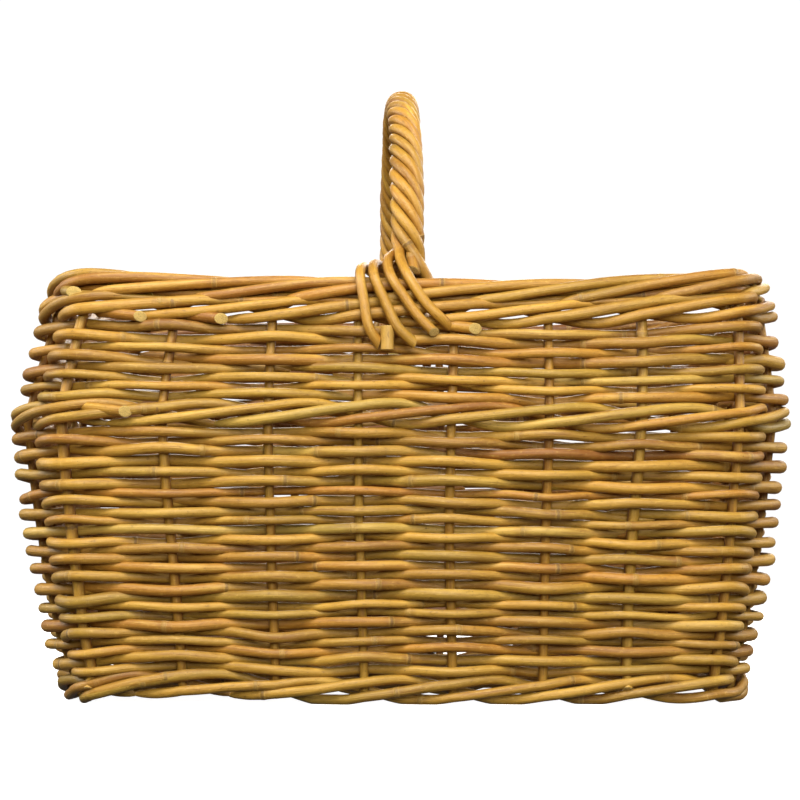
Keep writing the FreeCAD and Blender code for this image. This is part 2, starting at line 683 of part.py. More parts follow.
base_frame()
base_sticks()
base_weavers()
stakes()
wale("foot_wale", foot_wale_z)
weave_rows("lower_row", size["lower_rows"], lower_z)
wale("waist_wale", waist_wale_z)
weave_rows("upper_row", size["upper_rows"], upper_z)
wale("top_wale", top_wale_z, size["corner_rise"] / 2)
border()
handle_core()
handle_strands()
handle_peg("front_handle_peg", 0)
handle_peg("back_handle_peg", 180)
check_and_export()
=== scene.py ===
"""Looks of the woven market basket: each rod is a cane with its own path, thickness, nodes and colour.

Lengths are in millimetres until a mesh is made. +Z is up, -Y is the front and the origin is under the
basket's middle. Round the basket a place is a number u: whole numbers are the 26 stakes, counted
anticlockwise from the front left.
"""

import math

import bpy
import numpy as np
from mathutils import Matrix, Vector


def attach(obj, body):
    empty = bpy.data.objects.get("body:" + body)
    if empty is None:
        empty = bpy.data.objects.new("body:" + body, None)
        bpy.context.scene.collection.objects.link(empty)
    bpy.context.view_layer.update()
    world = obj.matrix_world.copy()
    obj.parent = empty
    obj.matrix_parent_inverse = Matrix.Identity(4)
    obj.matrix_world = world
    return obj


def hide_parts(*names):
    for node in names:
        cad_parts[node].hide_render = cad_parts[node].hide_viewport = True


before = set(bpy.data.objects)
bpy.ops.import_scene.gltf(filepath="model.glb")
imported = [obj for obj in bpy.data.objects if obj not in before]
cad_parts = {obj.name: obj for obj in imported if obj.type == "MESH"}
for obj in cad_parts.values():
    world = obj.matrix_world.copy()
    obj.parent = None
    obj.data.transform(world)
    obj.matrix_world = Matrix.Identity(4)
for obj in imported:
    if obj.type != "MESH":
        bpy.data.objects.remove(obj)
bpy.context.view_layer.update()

MM = 0.001
rng = np.random.default_rng(20431)

# ---- the basket's layout, as the CAD has it ----

FRONT_COUNT, SIDE_COUNT = 8, 5
STAKES = 2 * (FRONT_COUNT + SIDE_COUNT)
CORNERS = (-0.5, 7.5, 12.5, 20.5)
ROD = 5.8
ROW_PITCH = 5.88
LOWER_ROWS, UPPER_ROWS = 26, 8
WALE_RISE = 6.0
FOOT_WALE_Z = 8.6
LOWER_Z = FOOT_WALE_Z + WALE_RISE + ROW_PITCH
WAIST_WALE_Z = LOWER_Z + LOWER_ROWS * ROW_PITCH + WALE_RISE
UPPER_Z = WAIST_WALE_Z + WALE_RISE + ROW_PITCH
TOP_WALE_Z = UPPER_Z + UPPER_ROWS * ROW_PITCH + WALE_RISE
ROPE_RADIUS = 4.85
ROPE_Z = TOP_WALE_Z + WALE_RISE + 5.95 + ROPE_RADIUS
RIM_Z = ROPE_Z + ROPE_RADIUS + ROD / 2
STAKE_FOOT_Z, STAKE_TOP_Z = 2.0, TOP_WALE_Z - ROD / 2
LONG_LEAN_X, SHORT_LEAN_X, LEAN_Y, RIM_SHARE = 0.072, 0.088, 0.16, 0.6
SIDE_BULGE = 6.5


def waist_places():
    """x and y of the 26 stakes at the waist."""
    shift = (0.0, 3.0, 8.0, 4.0, 2.0, 3.0, -1.0, 0.0)
    front = []
    for i in range(FRONT_COUNT):
        x = 60.0 * (i - 3.5) + shift[i]
        front.append((x, -(158.0 + 7.0 * (1 - (x / 210.0) ** 2))))
    right = []
    for i in range(SIDE_COUNT):
        y = 56.5 * (i - 2)
        right.append((236.5 + SIDE_BULGE * (1 - (y / 113.0) ** 2), y))
    back = [(x, -y) for x, y in reversed(front)]
    left = [(-x, y) for x, y in reversed(right)]
    return np.array(front + right + back + left)


WAIST = waist_places()
LEAN_X = np.array([LONG_LEAN_X if k % 13 < FRONT_COUNT else SHORT_LEAN_X for k in range(STAKES)])
# How far the stakes were pulled to the right at the top and at the foot as the rows were woven.
TOP_PULL, FOOT_PULL = np.zeros(STAKES), np.zeros(STAKES)
TOP_PULL[:FRONT_COUNT] = (5.6, 2.2, -0.9, -0.9, 2.5, 2.3, 5.1, 6.3)
TOP_PULL[8:13] = (1.5, 1.0, 0.5, 0.0, -1.0)
TOP_PULL[21:26] = (3.0, 4.0, 5.0, 6.5, 8.0)
FOOT_PULL[:FRONT_COUNT] = (1.0, 0.0, -1.0, 2.2, 3.5, 2.7, 4.5, 2.0)
FOOT_PULL[8:13] = (-1.0, -1.0, -1.0, -1.0, -1.0)
FOOT_PULL[21:26] = (2.0, 2.0, 2.0, 3.0, 3.0)
# How far the weaving pushed the corner stakes to the right, and how far their feet were drawn over.
CORNER_PUSH, FOOT_DRAW = np.zeros(STAKES), np.zeros(STAKES)
CORNER_PUSH[[8, 12, 21, 25]] = (3.2, 2.5, -2.0, -2.5)
CORNER_PUSH[[0, 7]] = (-1.0, 2.0)
FOOT_DRAW[[8, 25, 0, 7]] = (-4.0, 8.0, 5.0, -2.0)
wander_size = rng.normal(0.0, 1.0, (STAKES, 4))
wander_phase = rng.uniform(0.0, 2 * math.pi, (STAKES, 2))


def wander(k, z):
    """How far stake k strays from its place at height z, as (x, y)."""
    x = 0.8 * wander_size[k, 0] * np.sin(z / 55.0 + wander_phase[k, 0])
    y = 0.7 * wander_size[k, 1] * np.sin(z / 48.0 + wander_phase[k, 1])
    x = x + TOP_PULL[k] * np.clip((z - WAIST_WALE_Z) / 60.0, 0, 1)
    x = x + CORNER_PUSH[k] * np.clip((z - 30.0) / 60.0, 0, 1) + FOOT_DRAW[k] * np.clip(1 - z / 42.0, 0, 1)
    return x + FOOT_PULL[k] * np.clip(1 - z / 110.0, 0, 1), y


def drawn_in(z):
    """Share of the full lean by which the wall is drawn in at height z."""
    below = (WAIST_WALE_Z - z) / (WAIST_WALE_Z - STAKE_FOOT_Z)
    above = RIM_SHARE * (z - WAIST_WALE_Z) / (RIM_Z - WAIST_WALE_Z)
    corner = np.where(z <= WAIST_WALE_Z, below, above)
    # The stakes bend over the waist in a curve, not a corner.
    soft = 0.035 * np.exp(-(((z - WAIST_WALE_Z) / 22.0) ** 2))
    return corner + soft


def blend4(p0, p1, p2, p3, t):
    """Catmull-Rom curve from p1 to p2."""
    return 0.5 * (
        2 * p1
        + (p2 - p0) * t
        + (2 * p0 - 5 * p1 + 4 * p2 - p3) * t**2
        + (3 * p1 - p0 - 3 * p2 + p3) * t**3
    )


def wall_line(u, z):
    """The wall's middle line: an array of x, y, z."""
    u, z = np.broadcast_arrays(np.asarray(u, float), np.asarray(z, float))
    k = np.floor(u).astype(int)
    t = u - k
    share = drawn_in(z)
    xs, ys = [], []
    for step in (-1, 0, 1, 2):
        near = (k + step) % STAKES
        dx, dy = wander(near, z)
        xs.append(WAIST[near, 0] * (1 - LEAN_X[near] * share) + dx)
        ys.append(WAIST[near, 1] * (1 - LEAN_Y * share) + dy)
    return np.stack([blend4(*xs, t), blend4(*ys, t), z], axis=-1)


def wall(u, z, out=0.0):
    """Points of the wall at places u and heights z, out of its middle line by out."""
    u = np.asarray(u, float)
    middle = wall_line(u, z)
    along = wall_line(u + 0.02, z) - wall_line(u - 0.02, z)
    normal = np.stack([along[..., 1], -along[..., 0], np.zeros_like(along[..., 0])], axis=-1)
    normal /= np.linalg.norm(normal, axis=-1, keepdims=True)
    return middle + normal * np.asarray(out, float)[..., None]


SAG_WAVES = 8
sag_phase = rng.uniform(0.0, 2 * math.pi, (SAG_WAVES, 2))
sag_size = rng.normal(0.0, 1.0, SAG_WAVES) / np.array([1.0, 1.3, 1.5, 1.8, 2.0, 2.4, 2.8, 3.2])

# The foot stands up from the floor between its corners: places and heights.
FOOT_LIFT_PLACES = (-0.5, 0, 0.5, 1, 1.5, 2, 2.5, 3.5, 5.5, 7, 7.5, 10, 13, 15, 18, 20.5, 23)
FOOT_LIFT = (-1.0, 1.0, 4.5, 6.0, 4.5, 1.5, 0.0, 0.0, 0.0, 2.5, -1.0, 2.0, 0.0, 4.0, 1.0, 0.0, 3.0)


def sag(u, z):
    """The shared rise and fall of the rows round the basket: they stay side by side as they wander."""
    u, z = np.broadcast_arrays(np.asarray(u, float), np.asarray(z, float))
    total = np.zeros_like(u)
    for i in range(SAG_WAVES):
        phase = sag_phase[i, 0] + z / (60.0 + 12 * i) + sag_phase[i, 1]
        total = total + sag_size[i] * np.sin(2 * math.pi * (i + 1) * u / STAKES + phase)
    lift = np.interp(u % STAKES, FOOT_LIFT_PLACES, FOOT_LIFT, period=STAKES)
    return 0.85 * total * np.clip(z / 40.0, 0.25, 1.0) + lift * np.clip(1 - z / 75.0, 0, 1)


def distance_round(u, places):
    """How far u is from the nearest of some places, going round the basket."""
    u = np.asarray(u, float)
    return np.min([np.abs((u - c + STAKES / 2) % STAKES - STAKES / 2) for c in places], axis=0)


def corner_lift(u):
    """1 at a corner of the basket, 0 from two and a half stakes away from it."""
    return 0.5 + 0.5 * np.cos(math.pi * np.minimum(1.0, distance_round(u, CORNERS) / 2.5))


# Stiff rods stand further out where they bend round these corner stakes.
LOOP_PLACES = (8, 12, 21, 25)
ROW_LOOP, WALE_LOOP, ROPE_LOOP = 1.8, 2.2, 2.0


def loop_out(u):
    """1 at a stake that rods loop round, 0 away from it."""
    return np.exp(-((distance_round(u, LOOP_PLACES) / 0.33) ** 2))


# ---- colours ----


def linear(colour):
    """An sRGB colour as linear light."""
    c = np.asarray(colour, float)
    return np.where(c <= 0.04045, c / 12.92, ((c + 0.055) / 1.055) ** 2.4)


def paint(red, green, blue):
    """An sRGB colour as linear light, in a plain tuple."""
    return tuple(linear((red, green, blue)))


CANE = [linear(c) for c in (
    (0.735, 0.560, 0.20),
    (0.700, 0.492, 0.155),
    (0.655, 0.440, 0.14),
    (0.660, 0.520, 0.18),
    (0.590, 0.378, 0.12),
    (0.790, 0.655, 0.30),
    (0.615, 0.495, 0.18),
)]
CANE_SHARES = np.array([7.0, 6.0, 4.0, 4.0, 1.8, 1.6, 1.5])
CANE_SHARES /= CANE_SHARES.sum()


def cane_colour():
    """The colour of one rod: one of the cane's colours, mixed with a second."""
    a, b = rng.choice(len(CANE), 2, p=CANE_SHARES)
    share = rng.uniform(0.1, 0.5)
    return (CANE[a] * (1 - share) + CANE[b] * share) * rng.uniform(0.88, 1.08)


# ---- canes as meshes ----

SIDES = 12
RING_STEP = 3.3
# Painted shade: how much darker the skin is painted in the creases between rods, in red, green and blue.
# It starts where the skin turns this far from the outside of the weave, as a cosine, and is full this
# much further on.
PAINTED_CREASE_SHADE = np.array([0.60, 0.74, 0.94])
PAINTED_SHADE_START, PAINTED_SHADE_SPREAD = 0.72, 1.1


class Canes:
    """Collects rods and makes one mesh object of them."""

    def __init__(self):
        self.points, self.faces, self.count = [], [], 0
        self.tint, self.place, self.node, self.pith, self.bend = [], [], [], [], []

    def add_part(self, points, faces, tint, place, node, pith, bend):
        """Adds points, faces between them and what the material reads at each point."""
        self.points.append(points)
        self.faces.append(np.asarray(faces) + self.count)
        self.tint.append(tint)
        self.place.append(place)
        self.node.append(node)
        self.pith.append(np.full(len(points), pith))
        self.bend.append(bend)
        self.count += len(points)

    def make(self, name, material):
        """The mesh object, in metres, with its attributes."""
        points = np.concatenate(self.points) * MM
        faces = np.concatenate(self.faces)
        mesh = bpy.data.meshes.new(name)
        mesh.vertices.add(len(points))
        mesh.vertices.foreach_set("co", points.astype(np.float32).ravel())
        mesh.loops.add(faces.size)
        mesh.loops.foreach_set("vertex_index", faces.astype(np.int32).ravel())
        mesh.polygons.add(len(faces))
        mesh.polygons.foreach_set("loop_start", np.arange(0, faces.size, 4, dtype=np.int32))
        mesh.update(calc_edges=True)
        mesh.polygons.foreach_set("use_smooth", np.ones(len(faces), bool))
        tint = np.concatenate(self.tint)
        rgba = np.concatenate([tint, np.ones((len(tint), 1))], axis=1)
        mesh.attributes.new("tint", "FLOAT_COLOR", "POINT").data.foreach_set("color", rgba.ravel())
        place = np.concatenate(self.place) * MM
        mesh.attributes.new("cane", "FLOAT_VECTOR", "POINT").data.foreach_set("vector", place.ravel())
        for label, values in (("node", self.node), ("pith", self.pith), ("bend", self.bend)):
            data = mesh.attributes.new(label, "FLOAT", "POINT").data
            data.foreach_set("value", np.concatenate(values).astype(np.float32))
        mesh.validate()
        made = bpy.data.objects.new(name, mesh)
        bpy.context.scene.collection.objects.link(made)
        made.data.materials.append(material)
        return made


def arc_lengths(points):
    """Distances of a line's points from its start, along it."""
    steps = np.linalg.norm(np.diff(points, axis=0), axis=1)
    return np.concatenate([[0.0], np.cumsum(steps)])


def cane_rings(length, nodes):
    """Where a rod's rings are: evenly spaced, with close ones at its nodes."""
    places = list(np.linspace(0.0, length, max(3, int(length / RING_STEP) + 1)))
    for s in nodes:
        places = [p for p in places if abs(p - s) > 3.6 or p in (0.0, length)]
        places += [s + d for d in (-2.6, -1.0, 0.0, 1.0, 2.6) if 0.4 < s + d < length - 0.4]
    return np.array(sorted(places))


NODE_GAP = (95.0, 260.0)


def make_nodes(length):
    """Distances along a rod of its nodes, where leaves once grew."""
    nodes, s = [], rng.uniform(8.0, NODE_GAP[1])
    while s < length - 6.0:
        nodes.append(s)
        s += rng.uniform(*NODE_GAP)
    return nodes


def tapered(s, length, taper):
    """Thickness along a rod that is pared down over its first and last taper millimetres."""
    share = np.ones_like(s)
    for distance, reach in ((s, taper[0]), (length - s, taper[1])):
        if reach > 0:
            share = np.minimum(share, 0.42 + 0.58 * np.clip(distance / reach, 0, 1) ** 0.6)
    return share


def along_rod(s, lengths, rows):
    """Values that are given at each point of a rod's line, at its rings."""
    return np.stack([np.interp(s, lengths, rows[:, i]) for i in range(3)], axis=1)


def cane(
    canes,
    points,
    diameter,
    up=(0, 0, 1),
    colour=None,
    taper=(0, 0),
    slant=(0.0, 0.0),
    uneven=1.0,
    nodes=None,
    facing=None,
    swell=None,
    outward=None,
    crease=1.0,
):
    """Adds one rod along a dense line of points, with nodes, slow changes of thickness and cut ends.

    taper and slant say how its two ends are pared and cut, facing which way a slanted cut looks,
    swell how its thickness changes along it, outward which way is out of the weave and crease how
    much painted shade darkens the skin that faces into the weave.
    """
    points = np.asarray(points, float)
    lengths = arc_lengths(points)
    length = lengths[-1]
    nodes = make_nodes(length) if nodes is None else nodes
    s = cane_rings(length, nodes)
    centre = along_rod(s, lengths, points)
    tangent = np.gradient(centre, s, axis=0)
    tangent /= np.linalg.norm(tangent, axis=1, keepdims=True)
    side = np.cross(tangent, np.asarray(up, float))
    side /= np.linalg.norm(side, axis=1, keepdims=True)
    over = np.cross(side, tangent)
    turning = np.linalg.norm(np.gradient(tangent, s, axis=0), axis=1)

    phase = rng.uniform(0, 2 * math.pi, 4)
    drift = 0.030 * np.sin(s / 31.0 + phase[0]) + 0.022 * np.sin(s / 13.0 + phase[1])
    radius = diameter / 2 * (1 + uneven * drift) * tapered(s, length, taper)
    if swell is not None:
        radius = radius * np.interp(s, lengths, swell)
    node_gap = np.full(len(s), 60.0)
    base = cane_colour() if colour is None else colour
    tint = np.tile(base, (len(s), 1))
    for at in nodes:
        gap = np.abs(s - at)
        node_gap = np.minimum(node_gap, gap)
        radius += uneven * 0.22 * np.exp(-((gap / 1.8) ** 2)) * rng.uniform(0.4, 1.6)
        radius *= np.where(s > at, 1 + rng.uniform(-0.02, 0.012), 1.0)
        other = cane_colour()
        share = rng.uniform(0.0, 0.5)
        beyond = (s >= at)[:, None]
        tint = np.where(beyond, (base * (1 - share) + other * share) * rng.uniform(0.88, 1.1), tint)

    angle = np.linspace(0, 2 * math.pi, SIDES, endpoint=False)
    lobes = 1 + 0.02 * uneven * np.cos(2 * angle[None] + phase[2] + s[:, None] / 90.0)
    r = radius[:, None] * lobes
    cos, sin = np.cos(angle), np.sin(angle)
    ring = centre[:, None] + side[:, None] * (r * cos)[..., None] + over[:, None] * (r * sin)[..., None]
    # Painted shade: skin that faces into the weave, where other rods would shade it, is painted darker and
    # browner.
    outs = side if outward is None else along_rod(s, lengths, outward)
    side_out, over_out = np.sum(side * outs, axis=1), np.sum(over * outs, axis=1)
    facing_out = cos * side_out[:, None] + sin * over_out[:, None]
    painted_shade = crease * np.clip((PAINTED_SHADE_START - facing_out) / PAINTED_SHADE_SPREAD, 0, 1)[..., None]
    tints = tint[:, None] * (1 - painted_shade * PAINTED_CREASE_SHADE)
    lean = np.stack([r * cos, r * sin], axis=-1)
    facing = rng.uniform(0, 2 * math.pi) if facing is None else facing
    across = lean[..., 0] * math.cos(facing) + lean[..., 1] * math.sin(facing)
    # A slanted cut moves the last rings along the rod on one side.
    for end, direction in ((0, 1), (1, -1)):
        distance = s if end == 0 else length - s
        weight = np.clip(1 - distance / 9.0, 0, 1)
        ring = ring + tangent[:, None] * (across * slant[end] * direction * weight[:, None])[..., None]
    offset = rng.uniform(0, 4000.0)
    place = np.stack([np.broadcast_to(s[:, None] + offset, r.shape), r * cos, r * sin], axis=-1)
    count = len(s)
    index = np.arange(count * SIDES).reshape(count, SIDES)
    turned = np.roll(index, -1, axis=1)
    faces = np.stack([index[:-1], turned[:-1], turned[1:], index[1:]], axis=-1).reshape(-1, 4)
    spread = (count, SIDES)
    canes.add_part(
        ring.reshape(-1, 3),
        faces,
        tints.reshape(-1, 3),
        place.reshape(-1, 3),
        np.broadcast_to(node_gap[:, None], spread).ravel(),
        0.0,
        np.broadcast_to(np.clip(turning * 25.0, 0, 1)[:, None], spread).ravel(),
    )
    for end, outwards in ((0, -tangent[0]), (count - 1, tangent[-1])):
        add_cut(canes, ring[end], centre[end], outwards, tint[end], offset + s[end])


def add_cut(canes, ring, centre, outwards, tint, offset):
    """A sawn end: a narrow bevel, a flat of pith and a closed middle."""
    middle = ring.mean(axis=0)
    rings = [
        ring,
        middle + (ring - middle) * 0.9 + outwards * 0.22,
        middle + (ring - middle) * 0.45 + outwards * 0.20,
        middle + (ring - middle) * 0.04 + outwards * 0.17,
    ]
    points = np.concatenate(rings)
    index = np.arange(len(points)).reshape(len(rings), SIDES)
    turned = np.roll(index, -1, axis=1)
    strips = np.stack([index[:-1], turned[:-1], turned[1:], index[1:]], axis=-1).reshape(-1, 4)
    if np.dot(np.cross(ring[1] - ring[0], middle - ring[0]), outwards) < 0:
        strips = strips[:, ::-1]
    local = points - centre
    canes.add_part(
        points,
        strips,
        np.tile(tint, (len(points), 1)),
        local + np.array([offset, 0, 0]),
        np.full(len(points), 60.0),
        1.0,
        np.zeros(len(points)),
    )


def spline(points, step=1.6):
    """A dense, smooth line through a few points."""
    points = np.asarray(points, float)
    padded = np.vstack([2 * points[0] - points[1], points, 2 * points[-1] - points[-2]])
    dense = []
    for i in range(len(points) - 1):
        p0, p1, p2, p3 = padded[i : i + 4]
        count = max(2, int(np.linalg.norm(p2 - p1) / step))
        t = np.linspace(0, 1, count, endpoint=False)[:, None]
        dense.append(blend4(p0, p1, p2, p3, t))
    dense.append(points[-1:])
    return np.vstack(dense)


# ---- material ----


def cane_material(name, shine=0.42, dirt=1.0):
    """Rattan with its skin on: grain, mottling, specks, dark rings at the nodes and pith at cut ends."""
    material = bpy.data.materials.new(name)
    material.use_nodes = True
    nodes, links = material.node_tree.nodes, material.node_tree.links
    nodes.clear()

    def attribute(label):
        node = nodes.new("ShaderNodeAttribute")
        node.attribute_name = label
        return node

    def stretched(scale):
        node = nodes.new("ShaderNodeVectorMath")
        node.operation = "MULTIPLY"
        node.inputs[1].default_value = scale
        links.new(cane_place.outputs["Vector"], node.inputs[0])
        return node.outputs[0]

    def noise(vector, scale, detail=3.0, roughness=0.55):
        node = nodes.new("ShaderNodeTexNoise")
        node.inputs["Scale"].default_value = scale
        node.inputs["Detail"].default_value = detail
        node.inputs["Roughness"].default_value = roughness
        links.new(vector, node.inputs["Vector"])
        return node.outputs["Fac"]

    def ramp(value, low, high, to_low=0.0, to_high=1.0):
        node = nodes.new("ShaderNodeMapRange")
        node.interpolation_type = "SMOOTHSTEP"
        node.inputs["From Min"].default_value = low
        node.inputs["From Max"].default_value = high
        node.inputs["To Min"].default_value = to_low
        node.inputs["To Max"].default_value = to_high
        links.new(value, node.inputs["Value"])
        return node.outputs["Result"]

    def multiply(a, b):
        node = nodes.new("ShaderNodeMath")
        node.operation = "MULTIPLY"
        for socket, value in zip(node.inputs, (a, b)):
            if isinstance(value, float):
                socket.default_value = value
            else:
                links.new(value, socket)
        return node.outputs[0]

    def add(a, b):
        node = nodes.new("ShaderNodeMath")
        node.operation = "ADD"
        links.new(a, node.inputs[0])
        links.new(b, node.inputs[1])
        return node.outputs[0]

    def mix(factor, a, b, kind="MIX"):
        node = nodes.new("ShaderNodeMix")
        node.data_type = "RGBA"
        node.blend_type = kind
        links.new(factor, node.inputs[0])
        for socket, value in ((node.inputs[6], a), (node.inputs[7], b)):
            if isinstance(value, tuple):
                socket.default_value = (*value, 1.0)
            else:
                links.new(value, socket)
        return node.outputs[2]

    cane_place = attribute("cane")
    along = stretched((0.10, 1.0, 1.0))
    fibre = stretched((0.03, 1.0, 1.0))
    colour = attribute("tint").outputs["Color"]
    node_gap = attribute("node").outputs["Fac"]
    pith = attribute("pith").outputs["Fac"]
    bend = attribute("bend").outputs["Fac"]

    # Broad mottling: the skin is sun-bleached in patches and brown in others.
    patches = noise(along, 130.0, 4.0, 0.6)
    colour = mix(multiply(ramp(patches, 0.50, 0.72), 0.62), colour, paint(0.47, 0.27, 0.07))
    colour = mix(multiply(ramp(patches, 0.47, 0.28), 0.50), colour, paint(0.88, 0.72, 0.33))
    # Scuffs: small pale and brown dashes and dots all over the skin.
    scuffs = noise(stretched((0.40, 1.0, 1.0)), 620.0, 5.0, 0.75)
    colour = mix(multiply(ramp(scuffs, 0.54, 0.70), 0.46), colour, paint(0.87, 0.72, 0.36))
    colour = mix(multiply(ramp(scuffs, 0.46, 0.30), 0.50), colour, paint(0.34, 0.18, 0.04))
    olive = noise(stretched((0.05, 0.4, 0.4)), 90.0, 2.0)
    colour = mix(multiply(ramp(olive, 0.56, 0.72), 0.40), colour, paint(0.52, 0.46, 0.15))
    # Fibres: fine lighter and darker lines along the rod.
    fibres = noise(fibre, 1500.0, 3.0, 0.6)
    colour = mix(multiply(ramp(fibres, 0.52, 0.75), 0.32), colour, paint(0.38, 0.21, 0.06))
    colour = mix(multiply(ramp(fibres, 0.45, 0.25), 0.22), colour, paint(0.93, 0.79, 0.40))
    # Specks of dark mould and insect marks.
    specks = noise(stretched((0.55, 1.0, 1.0)), 800.0, 2.0, 0.5)
    speck_zone = noise(stretched((0.2, 0.5, 0.5)), 60.0, 1.0)
    speck = multiply(ramp(specks, 0.68, 0.76), ramp(speck_zone, 0.42, 0.62))
    colour = mix(multiply(speck, 0.75 * dirt), colour, paint(0.24, 0.13, 0.05))
    # Pale cracks across the skin where a rod bends sharply.
    cracks = noise(stretched((1.0, 0.12, 0.12)), 1100.0, 2.0, 0.5)
    crack = multiply(multiply(ramp(cracks, 0.60, 0.74), ramp(bend, 0.45, 1.0)), 0.16)
    colour = mix(crack, colour, paint(0.92, 0.80, 0.52))
    # Nodes: a dark ring, a pale collar beside it and a stain.
    wobble = noise(stretched((0.0, 1.0, 1.0)), 700.0, 3.0)
    gap = nodes.new("ShaderNodeMath")
    gap.operation = "MULTIPLY_ADD"
    links.new(wobble, gap.inputs[0])
    gap.inputs[1].default_value = -1.8
    links.new(node_gap, gap.inputs[2])
    gap = gap.outputs[0]
    kind = noise(stretched((0.02, 0.0, 0.0)), 900.0, 0.0)
    colour = mix(multiply(ramp(gap, 6.0, 0.3), 0.30), colour, paint(0.45, 0.27, 0.10))
    colour = mix(multiply(ramp(gap, 1.4, 0.5), 0.28), colour, paint(0.82, 0.68, 0.36))
    ring = multiply(ramp(gap, 0.30, -0.35), ramp(kind, 0.40, 0.62, 0.1, 0.55))
    colour = mix(ring, colour, paint(0.26, 0.14, 0.05))
    # Cut ends: pale, open pith with dark vessels.
    vessels = noise(stretched((1.0, 1.0, 1.0)), 2600.0, 1.0)
    vessel = multiply(ramp(vessels, 0.50, 0.66), 0.6)
    colour = mix(pith, colour, mix(vessel, paint(0.84, 0.72, 0.42), paint(0.50, 0.33, 0.13)))

    shader = nodes.new("ShaderNodeBsdfPrincipled")
    links.new(colour, shader.inputs["Base Color"])
    rough = add(ramp(fibres, 0.3, 0.7, shine, shine + 0.16), multiply(pith, 0.4))
    links.new(add(rough, multiply(speck, 0.25)), shader.inputs["Roughness"])
    shader.inputs["Coat Weight"].default_value = 0.05
    shader.inputs["Coat Roughness"].default_value = 0.30
    shader.inputs["Specular IOR Level"].default_value = 0.5

    height = add(multiply(fibres, 0.00030), multiply(patches, 0.00045))
    height = add(height, multiply(scuffs, 0.00022))
    height = add(height, multiply(crack, -0.00030))
    height = add(height, multiply(ramp(gap, 0.5, 0.1), -0.00030))
    height = add(height, multiply(multiply(vessels, pith), -0.0003))
    bump = nodes.new("ShaderNodeBump")
    bump.inputs["Strength"].default_value = 1.0
    bump.inputs["Distance"].default_value = 1.0
    links.new(height, bump.inputs["Height"])
    links.new(bump.outputs[0], shader.inputs["Normal"])
    output = nodes.new("ShaderNodeOutputMaterial")
    links.new(shader.outputs[0], output.inputs["Surface"])
    return material


woven_look = cane_material("rattan_weavers")
stake_look = cane_material("rattan_stakes", shine=0.46)
border_look = cane_material("rattan_border", shine=0.40)
handle_look = cane_material("rattan_handle", shine=0.35, dirt=0.7)
base_look = cane_material("rattan_base", shine=0.52)


def finish_piece(canes, name, material, node):
    """Makes the piece, rides it on the one body and hides the CAD node it stands for."""
    piece = canes.make(name, material)
    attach(piece, "root")
    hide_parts(node)
    return piece


# ---- woven rows ----


ROW_OUT = 5.85


def row_line(u, z, phase, lean, knocks, pushes):
    """One woven row: outside one stake and inside the next, a little up or down at each."""
    near = np.round(u)
    at_stake = np.cos(math.pi * (u - near)) ** 2
    near = near.astype(int) % STAKES
    swing = ROW_OUT * np.cos(math.pi * (u + phase))
    outside = swing > 0
    swing = swing + outside * at_stake * (ROW_LOOP * loop_out(u) + pushes[near])
    height = z + sag(u, z) + lean + knocks[near] * at_stake
    return wall(u, height, swing)


def stacked(count, first_z):
    """Thicknesses and heights of a stack of rows, each lying on the one below."""
    thick = np.clip(rng.normal(6.6, 0.6, count), 5.6, 7.8)
    steps = (thick[1:] + thick[:-1]) / 2
    steps = steps * (count - 1) * ROW_PITCH / steps.sum()
    return thick, first_z + np.concatenate([[0.0], np.cumsum(steps)])


def weave_rows(prefix, count, first_z, lift=0.0):
    """A stack of rows; the top one is raised by lift at the corners, and those below it by less."""
    thick, heights = stacked(count, first_z)
    for row in range(count):
        canes = Canes()
        z = heights[row]
        joins = sorted(rng.choice(STAKES, 3, replace=False))
        for i, start in enumerate(joins):
            end = joins[(i + 1) % 3] + (STAKES if i == 2 else 0)
            # Each rod starts and stops behind a stake, on the inside of the wall.
            first = start + ((start + row) % 2 == 0) - 0.28
            last = end + ((end + row) % 2 == 0) + 0.22
            u = np.linspace(first, last, int((last - first) * 26))
            own = rng.uniform(0, 2 * math.pi, 4)
            lean = 0.50 * np.sin(u * 0.9 + own[0]) + 0.42 * np.sin(u * 2.3 + own[1])
            lean = lean + 0.18 * np.sin(u * 4.4 + own[2]) + lift * corner_lift(u) * (row + 1) / count
            # Where two rods overlap behind a stake, one lies above the other.
            overlap = np.clip(1 - (u - first) / 0.8, 0, 1) - np.clip(1 - (last - u) / 0.8, 0, 1)
            knocks, pushes = rng.normal(0.0, 0.95, STAKES), rng.uniform(-0.2, 1.3, STAKES)
            pushes[list(LOOP_PLACES)] += rng.uniform(-1.6, 1.4, 4)
            line = row_line(u, z, row, lean + 1.2 * overlap, knocks, pushes)
            diameter = np.clip(thick[row] + rng.normal(0, 0.25), 5.4, 7.8)
            swell = 1 + 0.16 * loop_out(u) * (np.cos(math.pi * (u + row)) > 0)
            cane(canes, line, diameter, taper=(14.0, 14.0), slant=(0.5, 0.5), swell=swell)
        node = f"{prefix}_{row + 1:02d}"
        finish_piece(canes, f"woven_{node}", woven_look, node)


# ---- wales ----

# One stroke of a wale's rod, in stakes along, shares of WALE_OUT outwards and shares of WALE_RISE up.
WALE_STEPS = ((-0.5, 0.0, -1.05), (0.0, 1.0, -0.62), (1.0, 1.0, 0.62), (1.5, 0.0, 1.05), (2.0, -1.0, 0.0))
WALE_OUT = 6.3
WAIST_STUBS = ((0.68, 181.0),)


